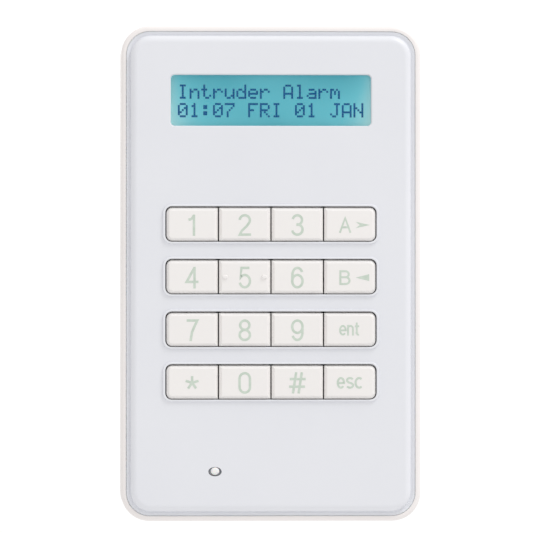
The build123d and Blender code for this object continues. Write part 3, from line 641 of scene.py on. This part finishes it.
# Chip resistors and capacitors stand in short rows beside the parts that they serve. A row is
# (middle x, middle z, count, step across, step up), and a row that runs across holds upright
# parts. Sizes are (along the part, across it).
CHIP_LENGTH, CHIP_WIDTH = 1.7, 0.85
CHIP_HEIGHTS = (0.45, 0.55, 0.8)
CHIP_BODY = 0.96
CHIP_MARGIN = 1.3
CHIP_END = 0.72
CHIP_END_SIZE = (0.42, 0.95)
CHIP_END_RISE = 0.03
PAD_SPREAD = 1.45
PAD_SIZE = (0.5, 1.05)
PAD_HEIGHT = 0.1
bodies, ends, joints = Solids(), Solids(), Solids()
rows = (
    (-2.0, -15.0, 6, 3.0, 0.0), (-2.0, -36.5, 6, 3.0, 0.0), (-13.5, -26.0, 4, 0.0, 3.4),
    (9.5, -26.0, 5, 0.0, 3.2), (-22.5, -4.0, 3, 0.0, 3.4), (-16.0, 6.5, 4, 3.2, 0.0),
    (-14.0, -46.0, 3, 0.0, 3.6), (13.0, -12.5, 5, 3.4, 0.0), (-24.0, -33.5, 3, 3.2, 0.0),
    (0.0, 58.0, 9, 4.2, 0.0), (-26.0, 44.0, 4, 0.0, 3.4), (26.0, 44.0, 4, 0.0, 3.4),
    (20.0, -60.0, 5, 3.4, 0.0), (-20.0, -60.0, 4, 3.4, 0.0),
)
for mid_x, mid_z, count, step_x, step_z in rows:
    for place in range(count):
        x = mid_x + (place - (count - 1) / 2) * step_x
        z = mid_z + (place - (count - 1) / 2) * step_z
        if blocked(x, z, CHIP_MARGIN, taken):
            continue
        order = -1 if step_x > 0 else 1
        rise = random.choice(CHIP_HEIGHTS)
        chip_top = BOARD_BACK - rise
        width, height = (CHIP_LENGTH * CHIP_BODY, CHIP_WIDTH * CHIP_BODY)[::order]
        bodies.box(x, z, width, height, chip_top, BOARD_BACK)
        for end in (-CHIP_END, CHIP_END):
            dx, dz = (end, 0.0)[::order]
            ends.box(x + dx, z + dz, *CHIP_END_SIZE[::order], chip_top - CHIP_END_RISE, BOARD_BACK)
            joints.box(
                x + dx * PAD_SPREAD, z + dz * PAD_SPREAD, *PAD_SIZE[::order],
                BOARD_BACK - PAD_HEIGHT, BOARD_BACK,
            )


def solder_cone(solids, x, z, foot, tip, rise, steps=14):
    """A concave little cone of solder round a pin, on the board's back."""
    profile = ((foot, 0.0), (foot * 0.72, rise * 0.22), (tip * 1.25, rise * 0.6), (tip, rise))
    base = len(solids.verts)
    for radius, height in profile:
        for step in range(steps):
            angle = 2 * math.pi * step / steps
            around = (x + radius * math.cos(angle), z + radius * math.sin(angle))
            solids.verts.append(to_frame(*around, BOARD_BACK - height))
    for level in range(len(profile) - 1):
        for step in range(steps):
            after = (step + 1) % steps
            a, b = base + level * steps, base + (level + 1) * steps
            solids.faces.append((a + step, b + step, b + after, a + after))
    top = base + (len(profile) - 1) * steps
    solids.faces.append(tuple(base + step for step in range(steps)))
    solids.faces.append(tuple(top + step for step in reversed(range(steps))))


HEADER_COUNT = 16
HEADER_MIDDLE = (HEADER_COUNT - 1) / 2
HEADER_PITCH = 2.54
CONE_FOOT, CONE_TIP, CONE_RISE = 0.95, 0.42, 0.8
header_x, header_z = centre_mm("lcd_header_pins")
for place in range(HEADER_COUNT):
    pin_x = header_x + (place - HEADER_MIDDLE) * HEADER_PITCH
    solder_cone(joints, pin_x, header_z, CONE_FOOT, CONE_TIP, CONE_RISE)

# Tracks: straight runs with slanting corners between the parts. The points of each run are
# (x, z) places on the board's back, in mm.
POWER_PEN, SIGNAL_PEN, SHORT_PEN = 0.35, 0.28, 0.3
TERMINAL_PITCH = 5.0
CHIP_PITCH = 0.8
tracks = Solids()
terminal_x, terminal_z = centre_mm("terminal_block")
bus_x, bus_z = centre_mm("bus_transceiver")
# From the four terminals to the bus transceiver.
for lane in range(4):
    shift = 0.9 * lane
    x = terminal_x + (lane - 1.5) * TERMINAL_PITCH
    tracks.stroke(
        [(x, terminal_z + 5.0), (x, 6.0 + shift), (x - 2.0, 8.0 + shift),
         (bus_x + 6.0, 8.0 + shift), (bus_x + 3.0, 5.0 + shift), (bus_x + 3.0, bus_z + 2.6)],
        POWER_PEN, *TRACK,
    )
# From the display's header down to the microcontroller.
for lane in range(HEADER_COUNT):
    x = header_x + (lane - HEADER_MIDDLE) * HEADER_PITCH
    end_x = (lane - HEADER_MIDDLE) * CHIP_PITCH - 2.0
    spread_x = end_x * 1.6 + 1.2
    bend = 24.0 + CHIP_PITCH * abs(lane - HEADER_MIDDLE)
    tracks.stroke(
        [(x, header_z - 1.0), (x, bend + 18.0 - abs(x - end_x) * 0.3), (spread_x, bend + 6.0),
         (spread_x, 12.0), (end_x, 9.5), (end_x, -18.6)],
        SIGNAL_PEN, *TRACK,
    )
# From the microcontroller's two sides.
for lane in range(8):
    z = -22.0 - CHIP_PITCH * lane
    right = [(4.4, z), (9.0, z), (13.0 + 0.5 * lane, z - 4.0), (17.5, z - 4.0)]
    left = [(-8.4, z), (-12.0, z), (-15.5, z - 3.5 - lane), (-33.0, z - 3.5 - lane)]
    tracks.stroke(right, SIGNAL_PEN, *TRACK)
    tracks.stroke(left, SIGNAL_PEN, *TRACK)
# From its bottom edge.
for lane in range(6):
    x = -4.4 + 1.6 * lane
    tracks.stroke([(x, -32.6), (x, -38.0), (x * 0.6, -40.5), (x * 0.6, -42.6)], SHORT_PEN, *TRACK)

# Plated holes where tracks change sides.
VIA_TRIES = 60
VIA_REACH_X, VIA_REACH_Z = (-36, 36), (-64, 62)
VIA_RADIUS, VIA_PEN, VIA_STEPS = 0.34, 0.22, 14
VIA_MARGIN = 1.4
vias = Solids()
for attempt in range(VIA_TRIES):
    x, z = random.uniform(*VIA_REACH_X), random.uniform(*VIA_REACH_Z)
    if blocked(x, z, VIA_MARGIN, taken):
        continue
    vias.stroke(ring(x, z, VIA_RADIUS, VIA_RADIUS, VIA_STEPS), VIA_PEN, *VIA, closed=True)

prints.piece("board_outlines", print_white, "front_unit", "circuit_board")
bodies.piece("chip_parts", ceramic, "front_unit", "chip_resin")
ends.piece("chip_part_ends", tin, "front_unit", "plated_steel")
joints.piece("solder_joints", tin, "front_unit", "plated_steel")
tracks.piece("board_tracks", track_mask, "front_unit", "circuit_board")
vias.piece("board_vias", finishes["gold_pins"], "front_unit", "gold_pins")

# ---- Stage: floor, light and camera -------------------------------------------------------------

def paper():
    n = Nodes("paper")
    n.link(
        n.ramp(n.noise(6.0, 3.0), [(0.3, (0.84, 0.84, 0.84)), (0.7, (0.88, 0.88, 0.88))]),
        n.bsdf.inputs["Base Color"],
    )
    n.set(Roughness=0.9)
    return n.material


FLOOR_Z = -0.24
FLOOR_REACH = 1.2
floor_mesh = bpy.data.meshes.new("floor")
floor_mesh.from_pydata(
    [(x * FLOOR_REACH, y * FLOOR_REACH, FLOOR_Z) for x, y in ((-1, -1), (1, -1), (1, 1), (-1, 1))],
    [], [(0, 1, 2, 3)],
)
floor = bpy.data.objects.new("floor", floor_mesh)
floor_mesh.materials.append(paper())
bpy.context.scene.collection.objects.link(floor)

# The backdrop that the camera sees is a little brighter than the light that it gives.
world = bpy.data.worlds.new("studio")
bpy.context.scene.world = world
world.use_nodes = True
tree = world.node_tree
seen = tree.nodes["Background"]
seen.inputs["Color"].default_value = (1.0, 1.0, 1.0, 1.0)
seen.inputs["Strength"].default_value = 1.05
fill = tree.nodes.new("ShaderNodeBackground")
fill.inputs["Color"].default_value = (1.0, 0.985, 0.98, 1.0)
fill.inputs["Strength"].default_value = 0.86
path_kind = tree.nodes.new("ShaderNodeLightPath")
chooser = tree.nodes.new("ShaderNodeMixShader")
tree.links.new(path_kind.outputs["Is Camera Ray"], chooser.inputs["Fac"])
tree.links.new(fill.outputs["Background"], chooser.inputs[1])
tree.links.new(seen.outputs["Background"], chooser.inputs[2])
tree.links.new(chooser.outputs["Shader"], tree.nodes["World Output"].inputs["Surface"])


def softbox(name, place, size, watts):
    """A square white light that faces the origin."""
    data = bpy.data.lights.new(name, "AREA")
    data.shape = "SQUARE"
    data.size = size
    data.energy = watts
    lamp = bpy.data.objects.new(name, data)
    lamp.location = place
    lamp.rotation_euler = (-Vector(place)).to_track_quat("-Z", "Y").to_euler()
    bpy.context.scene.collection.objects.link(lamp)


softbox("key_light", (0.75, -0.50, 1.30), 0.5, 9.5)
softbox("back_fill", (-0.6, 1.2, 0.5), 0.8, 2.0)

CAMERA_DISTANCE = 1.6
CAMERA_AZIMUTH = math.radians(-1.7)
CAMERA_ELEVATION = math.radians(-0.6)
VIEW_WIDTH = 0.1609
SENSOR_WIDTH = 36.0
aim = Vector((-0.00136, -0.030, 0.00211))
away = Vector((
    math.sin(CAMERA_AZIMUTH) * math.cos(CAMERA_ELEVATION),
    -math.cos(CAMERA_AZIMUTH) * math.cos(CAMERA_ELEVATION),
    math.sin(CAMERA_ELEVATION),
))
camera_data = bpy.data.cameras.new("camera")
camera_data.sensor_width = SENSOR_WIDTH
camera_data.lens = SENSOR_WIDTH * CAMERA_DISTANCE / VIEW_WIDTH
camera_data.clip_start = 0.05
camera_data.clip_end = 30.0
camera = bpy.data.objects.new("camera", camera_data)
camera.location = aim + away * CAMERA_DISTANCE
camera.rotation_euler = (-away).to_track_quat("-Z", "Y").to_euler()
bpy.context.scene.collection.objects.link(camera)
bpy.context.scene.camera = camera
bpy.context.scene.view_settings.view_transform = "Standard"
